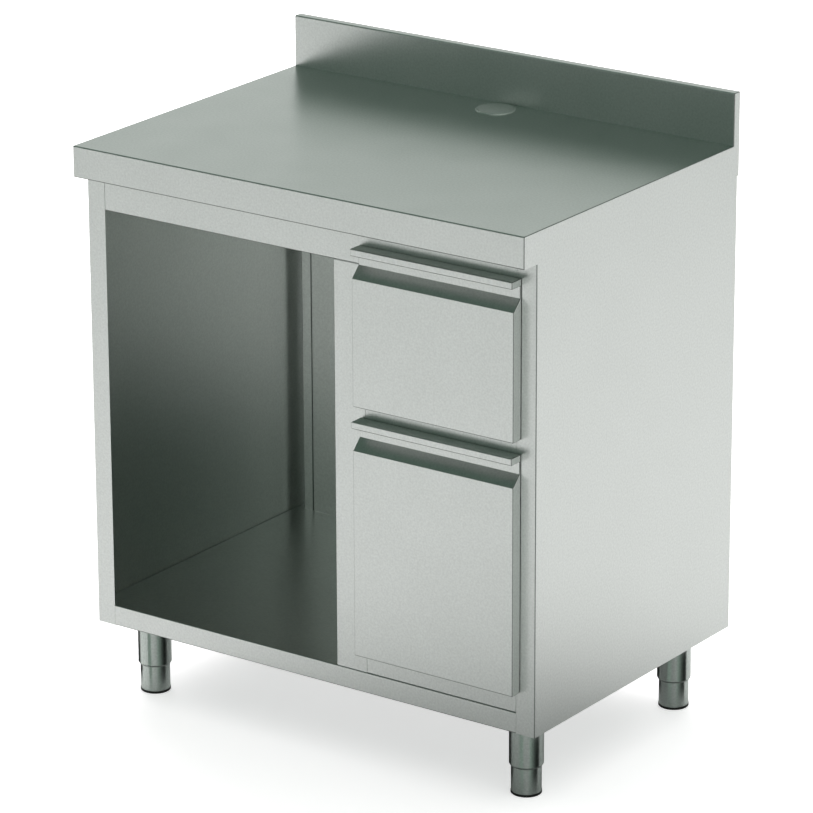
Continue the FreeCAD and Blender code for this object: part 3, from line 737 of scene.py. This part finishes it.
def set_fasteners(name, node, body, tree, sizes, outwards, seed):
    """Sets the tree's fasteners on the seats of a node, as one plain mesh that stands for the node."""
    seats = seats_of(node, outwards, sizes["Head Height"])
    low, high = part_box(node)
    reach = abs(sum((b - a) * c for a, b, c in zip(low, high, outwards)))
    given = dict(sizes)
    given["Shank Length"] = reach - sizes["Head Height"] - sizes["Tip Height"]
    given.update({"Axis": outwards, "Seed": seed, "Finish": zinc_steel})
    points = bpy.data.meshes.new(name + "_seats")
    points.from_pydata(seats, [], [])
    holder = bpy.data.objects.new(name + "_seats", points)
    bpy.context.scene.collection.objects.link(holder)
    modifier = holder.modifiers.new("fasteners", "NODES")
    modifier.node_group = tree
    for socket in tree.interface.items_tree:
        if socket.in_out == "INPUT" and socket.name in given:
            modifier[socket.identifier] = given[socket.name]
    evaluated = holder.evaluated_get(bpy.context.evaluated_depsgraph_get())
    mesh = bpy.data.meshes.new_from_object(evaluated)
    holder.modifiers.remove(modifier)
    bpy.data.objects.remove(holder)
    mesh.shade_smooth()
    mesh.set_sharp_from_angle(angle=SHARP_ANGLE)
    piece = bpy.data.objects.new(name, mesh)
    bpy.context.scene.collection.objects.link(piece)
    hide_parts(node)
    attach(piece, body)
    return piece


for name, node, body, tree, sizes, outwards, seed in (
    ("worktop_pan_head_screws", "worktop_screws", "carcass", screw_tree, PAN_HEAD_SCREW, DOWN, 3),
    ("upper_pan_head_screws", "upper_drawer_screws", "upper_drawer", screw_tree, PAN_HEAD_SCREW, BACK, 5),
    ("lower_pan_head_screws", "lower_drawer_screws", "lower_drawer", screw_tree, PAN_HEAD_SCREW, BACK, 8),
    ("blind_rivets", "back_rivets", "carcass", rivet_tree, BLIND_RIVET, BACK, 13),
):
    piece = set_fasteners(name, node, body, tree, sizes, outwards, seed)
    print(piece.name, "has", len(piece.data.polygons), "faces")

# %% [markdown]
# ## The studio floor
#
# Metal shows its surroundings, so the studio matters more than the lamps. The station stands on a
# large white floor, which is what its upright faces mirror. The floor's colour has a painted sheen: it is
# lighter seen at a low angle than from straight above, as satin paint looks, so faces that look down on
# it stay darker. A curved backdrop is the usual way, but its bend would show in the metal.

# %% The paint of the floor
WHITE, MOTTLE = 0.80, 0.01  # the paint, and how much it varies up and down
STEEP, LOW = 0.25, 0.60  # the layer weight's values at a steep and at a low angle
STEEP_SHARE = 0.25  # of its tone that the paint keeps at a steep angle


def floor_paint_with_painted_sheen(tree, place):
    """The floor's white paint, with a painted sheen: its colour is lighter seen at a low angle."""
    mottle = add(tree, "ShaderNodeTexNoise", {"Vector": place, "Scale": 3.0, "Detail": 3.0})
    tone = add(
        tree,
        "ShaderNodeMapRange",
        {"Value": mottle.outputs["Fac"], "To Min": WHITE - MOTTLE, "To Max": WHITE + MOTTLE},
    )
    # The sheen is painted: the angle of view sets the diffuse colour.
    grazing = add(tree, "ShaderNodeLayerWeight", {"Blend": 0.5})
    low_angle = add(
        tree,
        "ShaderNodeMapRange",
        {
            "Value": grazing.outputs["Facing"],
            "From Min": STEEP,
            "From Max": LOW,
            "To Min": STEEP_SHARE,
        },
        interpolation_type="SMOOTHSTEP",
    )
    sheen_tone = add(
        tree,
        "ShaderNodeMath",
        {0: tone.outputs["Result"], 1: low_angle.outputs["Result"]},
        operation="MULTIPLY",
    )
    paint = add(tree, "ShaderNodeBsdfDiffuse", {"Color": sheen_tone.outputs["Value"]})
    return paint.outputs["BSDF"]


print("paint gives back", WHITE, "at a low angle and", round(WHITE * STEEP_SHARE, 2), "at a steep one")

# %% [markdown]
# ### A floor without a horizon
#
# The floor is seen as white by the camera and by reflections, the more so the further away it is, so
# it has no horizon, and near the station it keeps the soft shadow. More lamps could do this too, but
# they would wash the shadow out.

# %% The glow of the floor
GLOW_IN_METAL = 0.08
NEAR, FAR = 2.0, 8.0  # distances from the station
NEAR_GLOW, FAR_GLOW = 0.5, 1.0  # what the camera sees there in addition


def seen_glow(tree, place):
    """A glow that only the camera and reflections see."""
    ray = add(tree, "ShaderNodeLightPath")
    seen = add(
        tree,
        "ShaderNodeMath",
        {0: ray.outputs["Is Camera Ray"], 1: ray.outputs["Is Glossy Ray"]},
        operation="MAXIMUM",
    )
    shown = add(
        tree,
        "ShaderNodeMath",
        {0: seen.outputs["Value"], 1: ray.outputs["Is Transmission Ray"]},
        operation="MAXIMUM",
    )
    in_metal = add(
        tree, "ShaderNodeMath", {0: shown.outputs["Value"], 1: GLOW_IN_METAL}, operation="MULTIPLY"
    )
    reach = add(tree, "ShaderNodeVectorMath", {0: place}, operation="LENGTH")
    backdrop = add(
        tree,
        "ShaderNodeMapRange",
        {
            "Value": reach.outputs["Value"],
            "From Min": NEAR,
            "From Max": FAR,
            "To Min": NEAR_GLOW,
            "To Max": FAR_GLOW,
        },
    )
    strength = add(
        tree,
        "ShaderNodeMath",
        {
            0: ray.outputs["Is Camera Ray"],
            1: backdrop.outputs["Result"],
            2: in_metal.outputs["Value"],
        },
        operation="MULTIPLY_ADD",
    )
    glow = add(
        tree,
        "ShaderNodeEmission",
        {"Color": (1.0, 1.0, 1.0, 1.0), "Strength": strength.outputs["Value"]},
    )
    return glow.outputs["Emission"]


print("glow in metal:", GLOW_IN_METAL)

# %% [markdown]
# ### The floor itself
#
# A very large disc ends so far away that its rim lies on the horizon. A square would do as well, but the
# glow grows with the distance from the middle, and a disc has the same rim all round.

# %% Floor
FLOOR_RADIUS = 60.0


def studio_floor():
    material, tree, output = new_material("white_studio_floor")
    place = add(tree, "ShaderNodeTexCoord").outputs["Object"]
    both = add(tree, "ShaderNodeAddShader", {0: floor_paint_with_painted_sheen(tree, place), 1: seen_glow(tree, place)})
    tree.links.new(both.outputs["Shader"], output.inputs["Surface"])
    return material


def disc(name, radius, sides, material):
    """A flat round piece that faces up."""
    mesh = bpy.data.meshes.new(name)
    form = bmesh.new()
    bmesh.ops.create_circle(form, cap_ends=True, radius=radius, segments=sides)
    form.to_mesh(mesh)
    form.free()
    mesh.materials.append(material)
    made = bpy.data.objects.new(name, mesh)
    bpy.context.scene.collection.objects.link(made)
    return made


floor = disc("studio_floor", FLOOR_RADIUS, 96, studio_floor())
print("floor radius", FLOOR_RADIUS, "m")

# %% [markdown]
# ## Cards beside the legs
#
# A round tube in a white room looks flat, like a paper roll. So strips that glow are stood around it,
# out of view, and the tube mirrors them as upright stripes of painted light and shade. Six strips stand
# around each leg, glowing from pale grey to black, and only mirrors see them: the camera and the lamps
# don't. Lamps could make stripes too, but they would also light the rest of the station.

# %% Glowing cards beside the legs
CARD_HEIGHT = 0.12
CARD_REACH = 0.09  # from a leg's axis
CARD_STEPS = 6  # flat strips in each curved card
# the sector that a card covers, in degrees from the right, and the tone that it glows at
CARDS = [
    (-94, -74, 0.38),
    (-40, -28, 0.36),
    (-28, -16, 0.20),
    (-16, -4, 0.07),
    (-4, 20, 0.012),
    (125, 205, 0.01),
]


def mirrors_only(piece):
    """Makes a piece that mirrors see, and the camera and the lamps don't."""
    piece.visible_camera = False
    piece.visible_diffuse = False
    piece.visible_shadow = False


def glowing_card_material():
    material, tree, output = new_material("glowing_card")
    tone = add(tree, "ShaderNodeAttribute", attribute_name="tone").outputs["Fac"]
    # The tone is the card's own glow, not light from a lamp: painted light and shade for the legs to
    # mirror.
    glow = add(tree, "ShaderNodeEmission", {"Color": linear("DCF0E4"), "Strength": tone})
    tree.links.new(glow.outputs["Emission"], output.inputs["Surface"])
    return material


card_form = bmesh.new()
tone_layer = card_form.faces.layers.float.new("tone")
legs = [name for name in nodes if name.startswith("leg_sleeve")]
for leg in legs:
    low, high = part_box(leg)
    axis = Vector(((low[0] + high[0]) / 2, (low[1] + high[1]) / 2, 0.0))
    for start, end, tone in CARDS:
        angles = [start + (end - start) * i / CARD_STEPS for i in range(CARD_STEPS + 1)]
        turns = [math.radians(angle) for angle in angles]
        foot = [axis + CARD_REACH * Vector((math.cos(turn), math.sin(turn), 0.0)) for turn in turns]
        lower = [card_form.verts.new(point) for point in foot]
        upper = [card_form.verts.new(point + Vector((0.0, 0.0, CARD_HEIGHT))) for point in foot]
        for i in range(CARD_STEPS):
            strip = card_form.faces.new((lower[i], lower[i + 1], upper[i + 1], upper[i]))
            strip[tone_layer] = tone
card_mesh = bpy.data.meshes.new("glowing_cards")
card_form.to_mesh(card_mesh)
card_form.free()
card_mesh.materials.append(glowing_card_material())
cards = bpy.data.objects.new("glowing_cards", card_mesh)
bpy.context.scene.collection.objects.link(cards)
mirrors_only(cards)
print("cards beside", len(legs), "legs")

# %% [markdown]
# ## A dark mat
#
# The lower front right corner needs to fall off into grey, or its two faces run together. A painted
# shadow on the floor in front of that corner does this: the faces mirror it near their foot. It fades out
# towards its rim, so no edge of it shows in the metal, and neither the camera nor the lamps see it.

# %% Painted floor shadow
SHADOW_SHEET_RADIUS = 1.0
SHADOW_SHEET_CORE = 0.25  # radius of the part that doesn't fade
SHADOW_SHEET_COVER = 0.46  # how much of the floor that part hides
SHADOW_SHEET_MIDDLE = (0.58, -0.2, 0.001)  # just above the floor


def painted_floor_shadow():
    material, tree, output = new_material("painted_floor_shadow")
    place = add(tree, "ShaderNodeTexCoord").outputs["Object"]
    reach = add(tree, "ShaderNodeVectorMath", {0: place}, operation="LENGTH")
    cover = add(
        tree,
        "ShaderNodeMapRange",
        {
            "Value": reach.outputs["Value"],
            "From Min": SHADOW_SHEET_CORE,
            "From Max": SHADOW_SHEET_RADIUS,
            "To Min": SHADOW_SHEET_COVER,
            "To Max": 0.0,
        },
        interpolation_type="SMOOTHSTEP",
    )
    clear = add(tree, "ShaderNodeBsdfTransparent")
    # A dark colour painted where the floor lies in the station's shade.
    shade_bsdf = add(tree, "ShaderNodeBsdfDiffuse", {"Color": linear("1C241F")})
    mixed = add(
        tree,
        "ShaderNodeMixShader",
        {0: cover.outputs["Result"], 1: clear.outputs["BSDF"], 2: shade_bsdf.outputs["BSDF"]},
    )
    tree.links.new(mixed.outputs["Shader"], output.inputs["Surface"])
    return material


shadow_sheet = disc("painted_floor_shadow", SHADOW_SHEET_RADIUS, 64, painted_floor_shadow())
shadow_sheet.location = SHADOW_SHEET_MIDDLE
mirrors_only(shadow_sheet)
print("mat radius", SHADOW_SHEET_RADIUS, "m")

# %% [markdown]
# ## The room
#
# The room is pale around the horizon and darker overhead, and darker still on one side, front left,
# which the back wall of the open compartment and the upstand mirror. It is one smooth gradient over the
# sine of the height, because any object in the room would show up in the metal.

# %% World
# height above the horizon as the sine of the angle, and the room's tone there
PALE_STOPS = [
    (0.0, (1.0, 1.0, 1.0, 1.0)),
    (0.12, (0.95, 0.95, 0.95, 1.0)),
    (0.30, (0.61, 0.65, 0.62, 1.0)),
    (0.50, (0.36, 0.42, 0.38, 1.0)),
    (0.75, (0.09, 0.135, 0.11, 1.0)),
]
DARK_STOPS = [
    (0.0, (1.0, 1.0, 1.0, 1.0)),
    (0.06, (0.8, 0.82, 0.81, 1.0)),
    (0.15, (0.11, 0.165, 0.135, 1.0)),
    (0.25, (0.055, 0.10, 0.075, 1.0)),
    (0.60, (0.05, 0.09, 0.07, 1.0)),
]
DARK_SIDE = (-0.58, -0.81, 0.0)
DARK_STARTS, DARK_FULL = 0.3, 0.9  # cosine of the angle from the dark side's middle


def studio_world():
    world = bpy.data.worlds.new("studio")
    world.use_nodes = True
    tree = world.node_tree
    tree.nodes.clear()
    output = add(tree, "ShaderNodeOutputWorld")
    direction = add(tree, "ShaderNodeTexCoord").outputs["Generated"]
    part = add(tree, "ShaderNodeSeparateXYZ", {"Vector": direction})
    pale = add(tree, "ShaderNodeValToRGB", {"Fac": part.outputs["Z"]})
    dark = add(tree, "ShaderNodeValToRGB", {"Fac": part.outputs["Z"]})
    for ramp, stops in ((pale, PALE_STOPS), (dark, DARK_STOPS)):
        elements = ramp.color_ramp.elements
        while len(elements) > 1:
            elements.remove(elements[-1])
        elements[0].position, elements[0].color = stops[0]
        for position, colour in stops[1:]:
            elements.new(position).color = colour
    towards_dark = add(
        tree, "ShaderNodeVectorMath", {0: direction, 1: DARK_SIDE}, operation="DOT_PRODUCT"
    )
    facing = add(
        tree,
        "ShaderNodeMapRange",
        {
            "Value": towards_dark.outputs["Value"],
            "From Min": DARK_STARTS,
            "From Max": DARK_FULL,
        },
        interpolation_type="SMOOTHSTEP",
    )
    room = add(
        tree,
        "ShaderNodeMixRGB",
        {
            "Fac": facing.outputs["Result"],
            "Color1": pale.outputs["Color"],
            "Color2": dark.outputs["Color"],
        },
    )
    ray = add(tree, "ShaderNodeLightPath")
    direct = add(
        tree,
        "ShaderNodeMath",
        {0: ray.outputs["Is Camera Ray"], 1: ray.outputs["Is Transmission Ray"]},
        operation="MAXIMUM",
    )
    seen = add(
        tree,
        "ShaderNodeMixRGB",
        {
            "Fac": direct.outputs["Value"],
            "Color1": room.outputs["Color"],
            "Color2": (1.0, 1.0, 1.0, 1.0),
        },
    )
    background = add(
        tree, "ShaderNodeBackground", {"Color": seen.outputs["Color"], "Strength": 1.0}
    )
    tree.links.new(background.outputs["Background"], output.inputs["Surface"])
    return world


bpy.context.scene.world = studio_world()
print("room tones on the pale side:", len(PALE_STOPS), "and on the dark side:", len(DARK_STOPS))

# %% [markdown]
# ## The lamps
#
# Two large lamps light the floor and cast the soft shadow. Metal doesn't show them, so no bright disc
# lies on the worktop. Small lamps would be simpler to place, but their shadows have hard edges.

# %% Lamps
LAMP_COLOUR = (1.0, 0.95, 0.97)  # takes out a little of the green that the sheet's colour gives


def soft_lamp(name, place, target, size, power):
    data = bpy.data.lights.new(name, "AREA")
    data.shape = "DISK"
    data.size = size
    data.energy = power
    data.color = LAMP_COLOUR
    lamp = bpy.data.objects.new(name, data)
    lamp.location = place
    lamp.rotation_euler = (Vector(target) - Vector(place)).to_track_quat("-Z", "Y").to_euler()
    lamp.visible_glossy = False
    bpy.context.scene.collection.objects.link(lamp)
    return lamp


softbox = soft_lamp("overhead_softbox", (0.3, 0.3, 9.0), (0.3, 0.3, 0.0), size=18.0, power=900.0)
key = soft_lamp("key_behind_left", (-3.0, 3.6, 5.0), (0.0, 0.0, 0.0), size=6.0, power=330.0)
print("lamps:", softbox.name, key.name)

# %% [markdown]
# ## The camera
#
# A long lens from the front right, above the worktop, keeps the upright edges nearly parallel, as a
# catalogue view does. A short lens close by would show the same faces, but its lines would run together.

# %% Camera
EYE = Vector((4.93399, -6.93238, 3.55285))
TURN = 0.618669738  # to the left of straight back, in radians
DROP = 0.334910325  # below the level
TILT = -0.0039265  # about the line of sight
LENS = 213.47  # millimetres, on a sensor 36 mm wide

ahead = Vector((-math.sin(TURN) * math.cos(DROP), math.cos(TURN) * math.cos(DROP), -math.sin(DROP)))
level_right = Vector((math.cos(TURN), math.sin(TURN), 0.0))
level_up = level_right.cross(ahead)
right = level_right * math.cos(TILT) + level_up * math.sin(TILT)
up = level_up * math.cos(TILT) - level_right * math.sin(TILT)
camera_data = bpy.data.cameras.new("camera")
camera_data.lens = LENS
camera_data.sensor_width = 36.0
camera_data.clip_end = 200.0
camera = bpy.data.objects.new("camera", camera_data)
camera.matrix_world = Matrix.Translation(EYE) @ Matrix((right, up, -ahead)).transposed().to_4x4()
bpy.context.scene.collection.objects.link(camera)
bpy.context.scene.camera = camera
bpy.context.scene.view_settings.view_transform = "Standard"
print("camera", [round(c, 3) for c in EYE], "lens", LENS, "mm")
